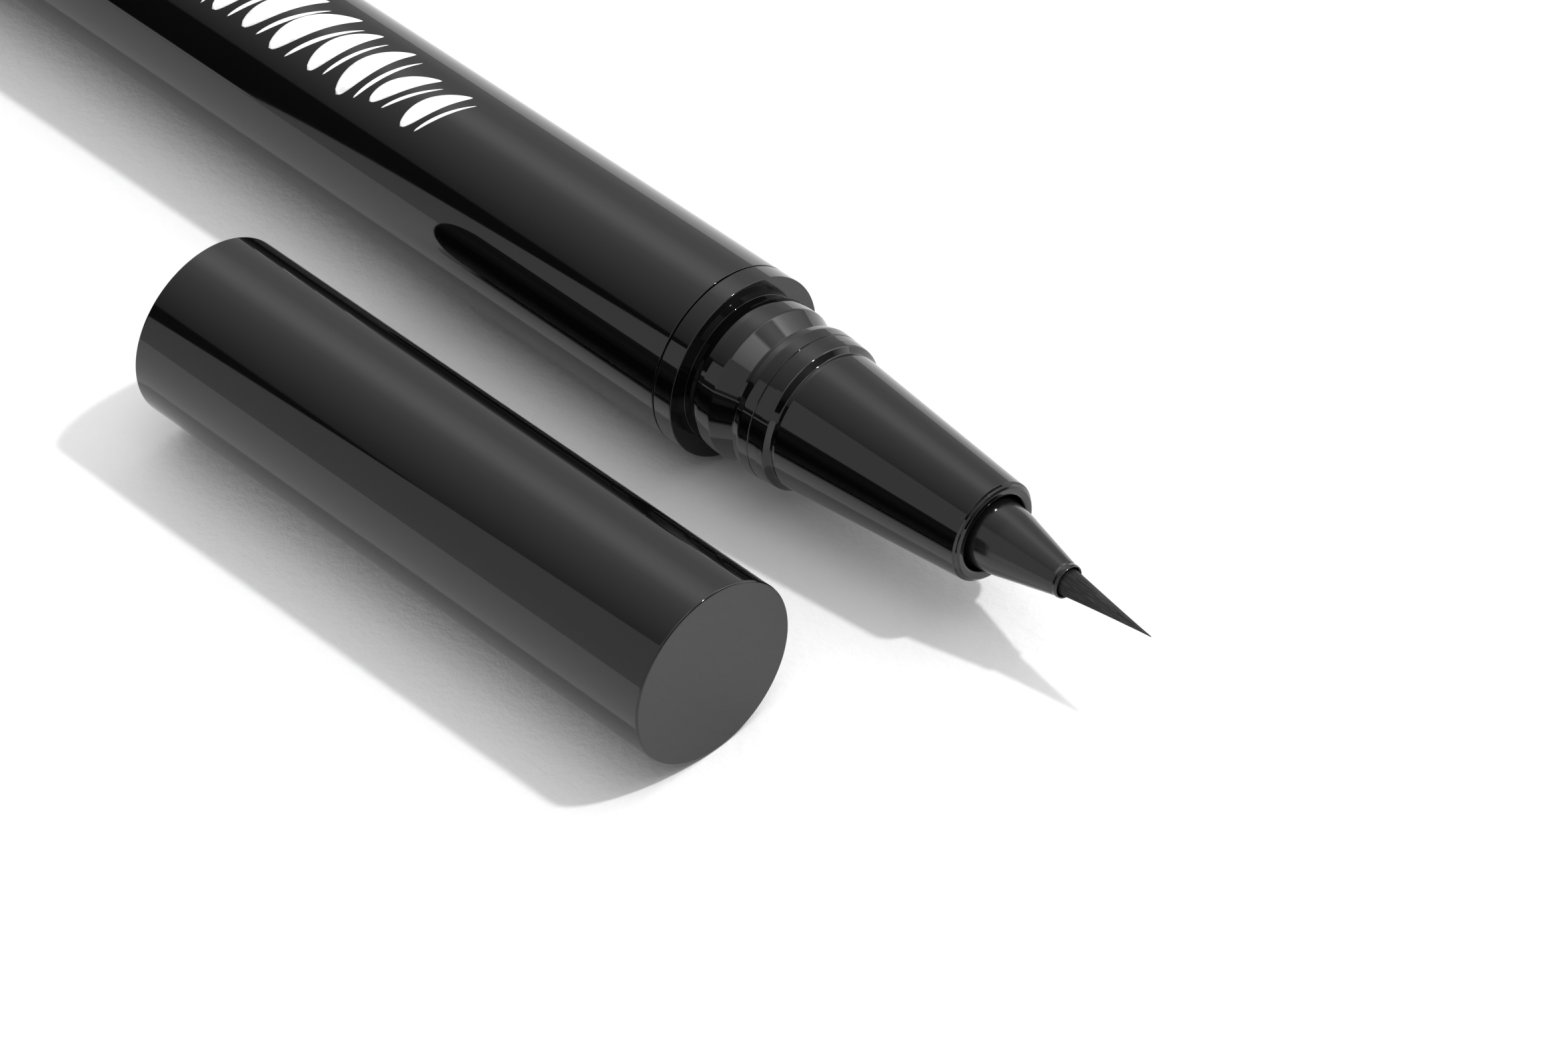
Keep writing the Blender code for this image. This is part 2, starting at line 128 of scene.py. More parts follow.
def aim_camera():
    """A camera on a sphere round AIM, turned about its own line of sight by the roll."""
    level = math.cos(VIEW_ELEVATION)
    back = Vector((
        math.sin(VIEW_AZIMUTH) * level,
        -math.cos(VIEW_AZIMUTH) * level,
        math.sin(VIEW_ELEVATION),
    ))
    flat_right = Vector((math.cos(VIEW_AZIMUTH), math.sin(VIEW_AZIMUTH), 0.0))
    flat_up = back.cross(flat_right)
    right = flat_right * math.cos(VIEW_ROLL) + flat_up * math.sin(VIEW_ROLL)
    turn = Matrix((right, back.cross(right), back)).transposed()
    camera = bpy.data.objects.new("camera", bpy.data.cameras.new("camera"))
    camera.data.lens = LENS_MM
    camera.data.sensor_width = SENSOR_MM
    camera.matrix_world = Matrix.Translation(AIM + back * VIEW_DISTANCE) @ turn.to_4x4()
    bpy.context.scene.collection.objects.link(camera)
    bpy.context.scene.camera = camera
    return camera


camera = aim_camera()
print("camera at", [round(c, 4) for c in camera.location])

# %% [markdown]
# ## Node trees from arithmetic
#
# Shader and geometry trees are easier to read as formulas. `Wire` holds one output socket, and each
# operator on it adds one Math node. `Sheet` holds a tree: `node()` adds any other node, first its
# settings and then the values or wires of its sockets.

# %% Wires and sheets
class Wire:
    """An output socket that plain arithmetic works on."""

    def __init__(self, sheet, socket):
        self.sheet = sheet
        self.socket = socket

    def math(self, operation, *terms):
        sockets = dict(enumerate(terms))
        return self.sheet.node("ShaderNodeMath", {"operation": operation}, sockets)

    def __add__(self, other):
        return self.math("ADD", self, other)

    def __radd__(self, other):
        return self.math("ADD", other, self)

    def __sub__(self, other):
        return self.math("SUBTRACT", self, other)

    def __rsub__(self, other):
        return self.math("SUBTRACT", other, self)

    def __mul__(self, other):
        return self.math("MULTIPLY", self, other)

    def __rmul__(self, other):
        return self.math("MULTIPLY", other, self)

    def __truediv__(self, other):
        return self.math("DIVIDE", self, other)

    def __rtruediv__(self, other):
        return self.math("DIVIDE", other, self)

    def __pow__(self, other):
        return self.math("POWER", self, other)

    def __rpow__(self, other):
        return self.math("POWER", other, self)

    def sine(self):
        return self.math("SINE", self)

    def cosine(self):
        return self.math("COSINE", self)

    def below(self, edge):
        return self.math("LESS_THAN", self, edge)


class Sheet:
    """A node tree that is written as formulas."""

    def __init__(self, tree):
        self.tree = tree

    def node(self, kind, settings=None, sockets=None, output=0):
        added = self.tree.nodes.new(kind)
        for name, value in (settings or {}).items():
            if name == "stops":
                self.set_stops(added.color_ramp, value)
            else:
                setattr(added, name, value)
        for key, value in (sockets or {}).items():
            self.plug(value, added.inputs[key])
        return Wire(self, added.outputs[output])

    def plug(self, value, socket):
        if isinstance(value, Wire):
            self.tree.links.new(value.socket, socket)
        else:
            socket.default_value = value

    def set_stops(self, ramp, stops):
        """Stops are (position, grey) pairs, from 0 to 1."""
        while len(ramp.elements) < len(stops):
            ramp.elements.new(0.5)
        for element, (position, grey) in zip(ramp.elements, stops):
            element.position = position
            element.color = (grey, grey, grey, 1.0)

    def split(self, vector):
        """The three numbers of a vector, as wires."""
        apart = self.node("ShaderNodeSeparateXYZ", None, {0: vector})
        return [Wire(self, output) for output in apart.socket.node.outputs]

    def joined(self, x, y, z):
        return self.node("ShaderNodeCombineXYZ", None, {0: x, 1: y, 2: z})

    def fade(self, value, low, high, start, end):
        """Maps low..high of a value to start..end, held at both ends."""
        return self.node(
            "ShaderNodeMapRange",
            {"clamp": True},
            {"Value": value, "From Min": low, "From Max": high, "To Min": start, "To Max": end},
        )


class Finish(Sheet):
    """A material with one Principled shader. Even values go straight on its own sockets."""

    def __init__(self, name, **even):
        self.material = bpy.data.materials.new(name)
        self.material.use_nodes = True
        super().__init__(self.material.node_tree)
        self.shader = self.tree.nodes["Principled BSDF"]
        for label, value in even.items():
            self.shader.inputs[label.replace("_", " ")].default_value = value

    def drive(self, label, wire):
        self.plug(wire, self.shader.inputs[label])

    def place(self, centre=(0.0, 0.0, 0.0), scale=(1.0, 1.0, 1.0)):
        """Object coordinates with a piece's axis at their middle, stretched for a pattern."""
        spot = self.node("ShaderNodeTexCoord", output=3)
        offset = tuple(-c * s for c, s in zip(centre, scale))
        sockets = {"Vector": spot, "Location": offset, "Scale": scale}
        return self.node("ShaderNodeMapping", None, sockets)

    def noise(self, where, scale, detail=2.0, roughness=0.5):
        sockets = {"Vector": where, "Scale": scale, "Detail": detail, "Roughness": roughness}
        return self.node("ShaderNodeTexNoise", None, sockets)

    def grey(self, value):
        """A number as a neutral colour."""
        return self.node("ShaderNodeCombineColor", None, {0: value, 1: value, 2: value})

    def relief(self, height, depth):
        """A bump whose full height is depth, in metres."""
        bump = self.node("ShaderNodeBump", None, {"Height": height, "Distance": depth})
        self.drive("Normal", bump)


print("node sheets ready")

# %% [markdown]
# ## Polished black plastic
#
# The barrel, the cap and the front section are moulded in black plastic with a mirror polish. Such a
# surface has almost no colour of its own, and everything that is seen on it is a reflection. What
# makes it real is what breaks the reflection a little: the faint waves that moulding leaves, hair
# scratches that run along the part from being capped and handled, a slightly duller film in patches,
# and a few grains of dust.

# %% Black finishes
BLACK = 0.0016
PLASTIC_IOR = 1.5
PATCH_SCALE = 180.0
WAVE_SCALE = 260.0
HAIR_STRETCH = (40.0, 2600.0, 2600.0)
DUST_SCALE = 420.0
DUST_SHARE = 0.035
DUST_SIZE = 0.03
WAVE_DEPTH = 0.00001


def polished_black(name, centre, shine, wave):
    """Mirror black with moulding waves, rubbed patches, hair scratches and dust."""
    finish = Finish(name, IOR=PLASTIC_IOR)
    spot = finish.place(centre)
    patches = finish.noise(spot, PATCH_SCALE, 3.0)
    along = finish.place(centre, HAIR_STRETCH)
    hairs = finish.fade(finish.noise(along, 1.0, 4.0, 0.7), 0.68, 0.8, 0.0, 1.0)
    rubbed = finish.fade(patches, 0.4, 0.75, 0.0, 1.0)
    dust = {"Vector": spot, "Scale": DUST_SCALE}
    cells = finish.node("ShaderNodeTexVoronoi", None, dust)
    pick = finish.node("ShaderNodeTexVoronoi", None, dust, output=1)
    chosen = finish.split(pick)[0].below(DUST_SHARE)
    grain = cells.below(DUST_SIZE) * chosen
    finish.drive("Roughness", shine + rubbed * 0.02 + hairs * rubbed * 0.05 + grain * 0.5)
    finish.drive("Base Color", finish.grey(BLACK + patches * 0.0006 + grain * 0.12))
    waves = finish.noise(spot, WAVE_SCALE, 1.0)
    finish.relief(waves * wave + hairs * rubbed * 0.02, WAVE_DEPTH)
    return finish.material


barrel_black = polished_black("barrel_black", PEN_DATUM, 0.035, 0.10)
cap_black = polished_black("cap_black", CAP_DATUM, 0.035, 0.10)
section_black = polished_black("section_black", PEN_DATUM, 0.03, 0.35)


def satin_black(name, centre):
    """Black with a fine grain all over, from a mould whose steel was left slightly rough."""
    finish = Finish(name, IOR=PLASTIC_IOR)
    spot = finish.place(centre)
    skin = finish.noise(spot, 9000.0, 3.0, 0.6)
    broad = finish.noise(spot, 500.0, 2.0)
    finish.drive("Roughness", 0.11 + broad * 0.06)
    finish.drive("Base Color", finish.grey(0.003 + skin * 0.003))
    finish.relief(skin, 0.000004)
    return finish.material


holder_satin = satin_black("holder_satin", PEN_DATUM)
print("black finishes:", [m.name for m in (barrel_black, cap_black, section_black, holder_satin)])

# %% [markdown]
# ## Finishes of the smaller parts
#
# Inside are natural and grey plastics, rubber, bright wire, a steel ball, and fibre full of ink.
# Each is one Principled shader with a fine grain, because even a small hidden part is lit by the
# edge of a reflection when the pen is taken apart.

# %% Small finishes
def plain_plastic(name, centre, tone, shine):
    """Moulded plastic with flow marks and a fine skin."""
    finish = Finish(name, IOR=PLASTIC_IOR, Subsurface_Weight=0.1, Subsurface_Scale=0.001)
    spot = finish.place(centre)
    skin = finish.noise(spot, 7000.0, 2.0)
    flow = finish.noise(finish.place(centre, (150.0, 900.0, 900.0)), 1.0, 2.0)
    finish.drive("Base Color", finish.grey(tone * (0.92 + flow * 0.16)))
    finish.drive("Roughness", shine + skin * 0.1)
    finish.relief(skin, 0.000005)
    return finish.material


def soft_rubber(name, centre):
    finish = Finish(name, IOR=1.5)
    skin = finish.noise(finish.place(centre), 12000.0, 3.0)
    finish.drive("Base Color", finish.grey(0.012 + skin * 0.01))
    finish.drive("Roughness", 0.6 + skin * 0.2)
    finish.relief(skin, 0.000008)
    return finish.material


def bright_steel(name, centre, shine, stretch):
    """Steel with the fine marks of its drawing or grinding."""
    finish = Finish(name, Metallic=1.0)
    marks = finish.noise(finish.place(centre, stretch), 1.0, 3.0)
    finish.drive("Base Color", finish.grey(0.5 + marks * 0.15))
    finish.drive("Roughness", shine + marks * 0.12)
    finish.relief(marks, 0.000002)
    return finish.material


def inked_fibre(name, centre):
    finish = Finish(name)
    fibres = finish.noise(finish.place(centre, (400.0, 16000.0, 16000.0)), 1.0, 2.0)
    finish.drive("Base Color", finish.grey(0.004 + fibres * 0.012))
    finish.drive("Roughness", 0.75 + fibres * 0.2)
    finish.relief(fibres, 0.00002)
    return finish.material


natural_plastic = plain_plastic("natural_plastic", PEN_DATUM, 0.62, 0.32)
cup_plastic = plain_plastic("cup_plastic", CAP_DATUM, 0.6, 0.36)
grey_plastic = plain_plastic("grey_plastic", CAP_DATUM, 0.2, 0.36)
seal_rubber = soft_rubber("seal_rubber", PEN_DATUM)
spring_steel = bright_steel("spring_steel", CAP_DATUM, 0.18, (9000.0, 9000.0, 9000.0))
ball_steel = bright_steel("ball_steel", PEN_DATUM, 0.06, (3000.0, 3000.0, 3000.0))
wick_fibre = inked_fibre("wick_fibre", PEN_DATUM)
print("small finishes ready")

# %% [markdown]
# ## Turning a piece
#
# Nearly every part of a pen is a body of revolution, as if it came off a lathe. It is drawn as an
# outline of corners, each with its own edge radius, because no real edge is perfectly sharp: a
# moulded edge of 0.05 mm is what catches the thin bright line. `rounded()` turns each corner into
# an arc, and adds a support point just outside it, so that the smooth shading of the arc doesn't
# leak along the straight run. An arc never takes more than FILLET_SHARE of the run beside it, so two
# neighbours can't overlap. `turned()` then sets the outline round the axis.

# %% The lathe
ROUND = 256
ARC_STEPS = 7
STRAIGHT = math.radians(89.9)
FILLET_SHARE = 0.45
SUPPORT_SHARE = 0.25
ON_AXIS = 1e-6


def rounded(corners, closed):
    """The outline through (station, radius, edge radius) corners, as (station, radius) points."""
    outline = []
    count = len(corners)
    for i, (station, radius, edge) in enumerate(corners):
        here = Vector((station, radius))
        if edge <= 0 or (not closed and i in (0, count - 1)):
            outline.append(here)
            continue
        before = Vector(corners[i - 1][:2]) - here
        after = Vector(corners[(i + 1) % count][:2]) - here
        half = before.angle(after) / 2
        if half > STRAIGHT:
            outline.append(here)
            continue
        room = FILLET_SHARE * before.length, FILLET_SHARE * after.length
        reach = min(edge / math.tan(half), *room)
        edge = reach * math.tan(half)
        inwards = (before.normalized() + after.normalized()).normalized()
        centre = here + inwards * (edge / math.sin(half))
        first = here + before.normalized() * reach - centre
        last = here + after.normalized() * reach - centre
        turn = first.angle_signed(last)
        support = SUPPORT_SHARE * reach
        outline.append(here + before.normalized() * min(reach + support, 0.5 * before.length))
        for step in range(ARC_STEPS + 1):
            angle = -turn * step / ARC_STEPS
            spun = Vector((
                first.x * math.cos(angle) - first.y * math.sin(angle),
                first.x * math.sin(angle) + first.y * math.cos(angle),
            ))
            outline.append(centre + spun)
        outline.append(here + after.normalized() * min(reach + support, 0.5 * after.length))
    return outline


def ring_angles(count, flash):
    """Even angles round the axis, with extra ones close to a mould's parting line."""
    angles = [2 * math.pi * i / count for i in range(count)]
    if flash:
        centre, width = flash[0], flash[1]
        angles += [centre + width * share for share in (-1.0, -0.5, -0.2, 0.0, 0.2, 0.5, 1.0)]
    return sorted(angle % (2 * math.pi) for angle in angles)


def turned(name, datum, corners, material, closed=True, flash=None, count=ROUND):
    """A turned piece. flash gives a parting line: angle, half width, height, first and last station."""
    outline = rounded(corners, closed)
    angles = ring_angles(count, flash)
    points = []
    rings = []
    for station, radius in outline:
        if radius < ON_AXIS:
            rings.append([len(points)] * len(angles))
            points.append(datum + Vector((station * MM, 0.0, 0.0)))
            continue
        rings.append(list(range(len(points), len(points) + len(angles))))
        for angle in angles:
            r = radius + parting_line(flash, station, angle)
            points.append(datum + Vector((station, r * math.cos(angle), r * math.sin(angle))) * MM)
    faces = []
    spans = len(rings) if closed else len(rings) - 1
    for i in range(spans):
        one, two = rings[i], rings[(i + 1) % len(rings)]
        for j in range(len(angles)):
            k = (j + 1) % len(angles)
            loop = list(dict.fromkeys((one[j], one[k], two[k], two[j])))
            if len(loop) > 2:
                faces.append(loop)
    mesh = bpy.data.meshes.new(name)
    mesh.from_pydata(points, [], faces)
    return finished(name, mesh, material)


def parting_line(flash, station, angle):
    """The height of a parting line's low ridge at one point of the skin, in millimetres."""
    if not flash:
        return 0.0
    centre, width, height, first, last = flash
    if not first < station < last:
        return 0.0
    away = abs((angle - centre + math.pi) % (2 * math.pi) - math.pi) / width
    return height * max(0.0, 1.0 - away) ** 0.7


def finished(name, mesh, material):
    """Faces outwards, smooth, with its material, as an object at the origin."""
    mesh.validate()
    mesh.materials.clear()
    mesh.materials.append(material)
    mesh.shade_smooth()
    piece = bpy.data.objects.new(name, mesh)
    bpy.context.scene.collection.objects.link(piece)
    face_outwards(mesh)
    return piece


def face_outwards(mesh):
    """Turns the whole mesh round if its signed volume is negative."""
    mesh.calc_loop_triangles()
    points = mesh.vertices
    volume = 0.0
    for triangle in mesh.loop_triangles:
        a, b, c = (points[i].co - PEN_DATUM for i in triangle.vertices)
        volume += a.dot(b.cross(c))
    if volume < 0:
        mesh.flip_normals()
    mesh.update()


def attach(piece, body, nodes=()):
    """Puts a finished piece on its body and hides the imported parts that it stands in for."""
    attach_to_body(piece, body)
    if nodes:
        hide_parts(*nodes)
    print(f"{piece.name}: {len(piece.data.polygons)} faces on {body}")
    return piece


print(f"lathe ready: {ROUND} steps round the axis, {ARC_STEPS} in a fillet")

# %% [markdown]
# ## The barrel and its tail
#
# The barrel is a plain tube of 12 mm. The light that runs along it shows every flaw, so its skin is
# one straight run between two soft edges. The tail plug closes the other end behind a hairline seam.

# %% Barrel and tail plug
BARREL_BORE = 5.25
PLUG_FLANGE = 1.4
PLUG_SPIGOT = 4.0
PLUG_SPIGOT_R = BARREL_BORE - 0.125
mouth_station = -COLLAR_BAND - SEAM
flange_station = TAIL_STATION + PLUG_FLANGE

barrel_outline = [
    (flange_station + SEAM, BARREL_BORE, 0.05),
    (flange_station + SEAM, BODY_R, 0.08),
    (mouth_station, BODY_R, 0.05),
    (mouth_station, BARREL_BORE, 0.05),
]
barrel = turned("barrel_tube", PEN_DATUM, barrel_outline, barrel_black)
attach(barrel, "pen", ["barrel"])

plug_outline = [
    (TAIL_STATION, 0.0, 0.0),
    (TAIL_STATION, BODY_R, 0.18),
    (flange_station, BODY_R, 0.08),
    (flange_station, PLUG_SPIGOT_R, 0.1),
    (flange_station + PLUG_SPIGOT, PLUG_SPIGOT_R, 0.2),
    (flange_station + PLUG_SPIGOT, 0.0, 0.0),
]
plug = turned("tail_end_plug", PEN_DATUM, plug_outline, barrel_black, closed=False)
attach(plug, "pen", ["tail_plug"])

# %% [markdown]
# ## The front section
#
# One glossy moulding makes the collar, the neck, the snap bead and the long cone. Behind the collar
# a spigot goes into the barrel, with a groove for the seal ring. The cap's inner bead clicks into the
# groove behind the section's bead. Two mould halves met along this part, so a
# fine parting line runs along the neck and the bead. It is real geometry here, a low ridge in the
# skin, because on a mirror finish it bends the reflections.

# %% Front section
MOUTH_STATION = 21.02
SECTION_BORE = 2.47
SPIGOT_END = -14.0
SPIGOT_R = 5.0
RING_GROOVE = (-9.2, -8.0)
RING_GROOVE_R = 4.4
HOLDER_SHOULDER = 9.0
HOLDER_SEAT_R = 3.4
PARTING_ANGLE = math.radians(150.7)
PARTING_HALF_WIDTH = 0.011
PARTING_HEIGHT = 0.014
PARTING_RUN = (0.3, 6.6)

collar = [
    (SPIGOT_END, 4.2, 0.05),
    (SPIGOT_END, SPIGOT_R, 0.3),
    (RING_GROOVE[0], SPIGOT_R, 0.05),
    (RING_GROOVE[0], RING_GROOVE_R, 0.05),
    (RING_GROOVE[1], RING_GROOVE_R, 0.05),
    (RING_GROOVE[1], SPIGOT_R, 0.05),
    (-COLLAR_BAND, SPIGOT_R, 0.05),
    (-COLLAR_BAND, BODY_R, 0.05),
    (0.0, BODY_R, 0.06),
]
neck = [
    (0.0, 4.82, 0.03),
    (0.45, 4.86, 0.15),
    (0.85, 5.03, 0.4),
    (1.3, 5.06, 0.8),
    (2.3, 5.05, 0.4),
    (3.6, 4.4, 0.05),
    (3.96, 4.4, 0.04),
]
bead = [
    (4.1, 4.88, 0.14),
    (4.65, 5.0, 0.6),
    (5.38, 4.94, 0.03),
    (5.43, 4.87, 0.02),
    (5.48, 4.93, 0.03),
    (6.1, 4.88, 0.5),
    (6.56, 4.82, 0.18),
    (6.88, 4.44, 0.1),
]
cone = [
    (7.2, 4.478, 0.1),
    (20.72, 3.255, 0.05),
    (20.8, 3.12, 0.03),
    (20.92, 3.1, 0.03),
    (MOUTH_STATION, 2.96, 0.12),
    (MOUTH_STATION, SECTION_BORE, 0.28),
    (HOLDER_SHOULDER, SECTION_BORE, 0.05),
    (HOLDER_SHOULDER, HOLDER_SEAT_R, 0.05),
    (2.0, HOLDER_SEAT_R, 0.1),
    (1.0, 4.2, 0.1),
]
seam_ridge = (PARTING_ANGLE, PARTING_HALF_WIDTH, PARTING_HEIGHT, *PARTING_RUN)
section_outline = collar + neck + bead + cone
section = turned("front_moulding", PEN_DATUM, section_outline, section_black, flash=seam_ridge)
attach(section, "pen", ["front_section"])

# %% [markdown]
# ## The tip holder
#
# A satin nozzle grips the brush. It starts as a plain shank inside the section, tapers with a slight
# curve and ends in a small raised lip.

# %% Tip holder
HOLDER_END = 27.0
HOLDER_BORE = 1.0

holder_outline = [
    (5.5, 1.8, 0.05),
    (5.5, 2.6, 0.1),
    (7.2, 2.6, 0.05),
    (7.2, 3.25, 0.1),
    (8.8, 3.25, 0.1),
    (8.8, 2.3, 0.05),
    (20.4, 2.3, 1.0),
    (22.2, 2.1, 6.0),
    (26.45, 1.12, 0.3),
    (26.6, 1.06, 0.05),
    (26.78, 1.1, 0.08),
    (HOLDER_END, 1.05, 0.08),
    (HOLDER_END - 0.12, HOLDER_BORE - 0.06, 0.04),
    (14.0, HOLDER_BORE, 0.05),
    (14.0, 1.8, 0.05),
]
holder = turned("tip_nozzle", PEN_DATUM, holder_outline, holder_satin)
attach(holder, "pen", ["tip_holder"])

# %% [markdown]
# ## Growing things with Geometry Nodes
#
# Bristles, coils and printed marks follow a rule, so they are grown by Geometry Nodes. `Rule` is a
# sheet for such a tree. Its named inputs are the sizes that a maker would change. `grow()` gives
# them their values, lets Blender work the tree out once, and keeps the result as a plain mesh.

# %% Rules
class Rule(Sheet):
    """A Geometry Nodes tree with named inputs."""

    KINDS = {
        "whole": "NodeSocketInt",
        "number": "NodeSocketFloat",
        "material": "NodeSocketMaterial",
    }

    def __init__(self, name, **inputs):
        super().__init__(bpy.data.node_groups.new(name, "GeometryNodeTree"))
        self.ids = {}
        face = self.tree.interface
        for label, kind in inputs.items():
            item = face.new_socket(label, in_out="INPUT", socket_type=self.KINDS[kind])
            self.ids[label] = item.identifier
        face.new_socket("Geometry", in_out="OUTPUT", socket_type="NodeSocketGeometry")
        given = self.tree.nodes.new("NodeGroupInput")
        self.given = {label: Wire(self, given.outputs[label]) for label in inputs}

    def shaped(self, geometry, position):
        sockets = {"Geometry": geometry, "Position": position}
        return self.node("GeometryNodeSetPosition", None, sockets)

    def chance(self, low, high, seed, identity=None):
        sockets = {2: low, 3: high, "Seed": seed}
        if identity:
            sockets["ID"] = identity
        return self.node("FunctionNodeRandomValue", {"data_type": "FLOAT"}, sockets, output=1)

    def end(self, geometry):
        """Realizes the instances, sets the material and joins the result to the output."""
        solid = self.node("GeometryNodeRealizeInstances", None, {0: geometry})
        sockets = {"Geometry": solid, "Material": self.given["material"]}
        painted = self.node("GeometryNodeSetMaterial", None, sockets)
        out = self.tree.nodes.new("NodeGroupOutput")
        self.plug(painted, out.inputs[0])

    def grow(self, name, datum, material, **sizes):
        """Runs the tree once and returns a plain piece whose mesh starts at the datum."""
        maker = bpy.data.objects.new(name + "_maker", bpy.data.meshes.new(name + "_maker"))
        bpy.context.scene.collection.objects.link(maker)
        modifier = maker.modifiers.new("rule", "NODES")
        modifier.node_group = self.tree
        for label, value in sizes.items():
            modifier[self.ids[label]] = value
        modifier[self.ids["material"]] = material
        graph = bpy.context.evaluated_depsgraph_get()
        mesh = bpy.data.meshes.new_from_object(maker.evaluated_get(graph))
        bpy.data.objects.remove(maker)
        mesh.name = name
        mesh.transform(Matrix.Translation(datum))
        return finished(name, mesh, material)


print("rules ready")

# %% [markdown]
# ## The brush
#
# The tip is a bundle of nylon bristles, each thinner than a hair and ground to a point, gathered
# into a cone by the ink. A smooth cone with a bump would give it away, so each bristle is a strand
# of its own. The roots sit in a sunflower pattern, which fills a disc evenly. Each strand then runs
# forward and closes in by the same curve as the bundle, and the strands end at different lengths,
# so that only a few of them make the point. A plain core inside keeps light from passing through.

# %% Bristles
GOLDEN_ANGLE = 2.39996
BRUSH_R = 0.87
STRAND_POINTS = 9
STRAND_SIDES = 5
SHORTEST_CUT = 0.62
STRAY = 0.035
CLOSING_POWER = 1.08


def bristle_rule():
    rule = Rule(
        "bristle_rule",
        strands="whole",
        root_radius="number",
        length="number",
        thickness="number",
        seed="whole",
        material="material",
    )
    given = rule.given
    index = rule.node("GeometryNodeInputIndex")
    ring = given["root_radius"] * ((index + 0.5) / given["strands"]) ** 0.5
    angle = index * GOLDEN_ANGLE
    seat = rule.joined(0.0, ring * angle.cosine(), ring * angle.sine())
    roots = rule.node("GeometryNodePoints", None, {"Count": given["strands"], "Position": seat})
    ends = {"Start": (0, 0, 0), "End": (1, 0, 0)}
    line = rule.node("GeometryNodeCurvePrimitiveLine", None, ends)
    strand = rule.node("GeometryNodeResampleCurve", None, {"Curve": line, "Count": STRAND_POINTS})
    copies = {"Points": roots, "Instance": strand}
    planted = rule.node("GeometryNodeInstanceOnPoints", None, copies)
    loose = rule.node("GeometryNodeRealizeInstances", None, {0: planted})
    own = rule.node("GeometryNodeCurveOfPoint")
    reach = 1.0 - rule.chance(0.0, SHORTEST_CUT, given["seed"], own) ** 1.6
    drift = rule.chance(-STRAY, STRAY, given["seed"] + 1, own)
    lift = rule.chance(-STRAY, STRAY, given["seed"] + 2, own)
    share, y, z = rule.split(rule.node("GeometryNodeInputPosition"))
    along = share * reach
    closing = (1.0 - along) ** CLOSING_POWER
    spread = given["root_radius"] * share * closing
    bent = rule.joined(
        along * given["length"],
        y * closing + spread * drift,
        z * closing + spread * lift,
    )
    gathered = rule.shaped(loose, bent)
    taper = given["thickness"] * (1.0 - share * 0.8)
    round_wire = {"Resolution": STRAND_SIDES, "Radius": 1.0}
    section_ring = rule.node("GeometryNodeCurvePrimitiveCircle", None, round_wire)
    tubes = rule.node(
        "GeometryNodeCurveToMesh",
        None,
        {"Curve": gathered, "Profile Curve": section_ring, "Scale": taper, "Fill Caps": True},
    )
    rule.end(tubes)
    return rule


def bristle_black():
    """Inked nylon: dark, with a painted highlight: lighter base colour in streaks along the hairs,
    where the roughness also drops.
    """
    finish = Finish("bristle_black", IOR=PLASTIC_IOR)
    streaks = finish.noise(finish.place(PEN_DATUM, (250.0, 14000.0, 14000.0)), 1.0, 2.0)
    # Painted highlight: lighter base colour in streaks along the hairs; the lower roughness in the same
    # streaks is real gloss.
    painted_sheen = finish.fade(streaks, 0.45, 0.75, 0.0, 0.03)
    finish.drive("Base Color", finish.grey(0.002 + painted_sheen))
    finish.drive("Roughness", finish.fade(streaks, 0.3, 0.7, 0.5, 0.3))
    return finish.material


BRUSH_BASE = HOLDER_END - 0.25
root = PEN_DATUM + Vector((BRUSH_BASE * MM, 0.0, 0.0))
bristle_finish = bristle_black()
strands = bristle_rule().grow(
    "brush_strands",
    root,
    bristle_finish,
    strands=620,
    root_radius=(BRUSH_R - 0.02) * MM,
    length=(TIP_STATION - BRUSH_BASE) * MM,
    thickness=0.034 * MM,
    seed=11,
)
attach(strands, "pen", ["brush_tip"])

core_outline = [
    (11.5, 0.0, 0.0),
    (11.5, 1.55, 0.05),
    (13.7, 1.55, 0.05),
    (13.7, BRUSH_R - 0.05, 0.05),
    (BRUSH_BASE, BRUSH_R - 0.05, 0.2),
    (TIP_STATION - 2.6, 0.26, 0.5),
    (TIP_STATION - 0.5, 0.0, 0.0),
]
core = turned("brush_core", PEN_DATUM, core_outline, bristle_finish, closed=False)
attach(core, "pen")

# %% [markdown]
# ## The printed pattern
#
# White ink is pad-printed along the upper side of the barrel: a row of slanted brush dabs that swell
# and fade, each with a hairline beside it. One dab is a small grid pinched to a leaf. The rule sets
# it out along a line, turns and sizes each copy a little, gives it the thickness of a film of ink
# and rolls the whole row onto the barrel.

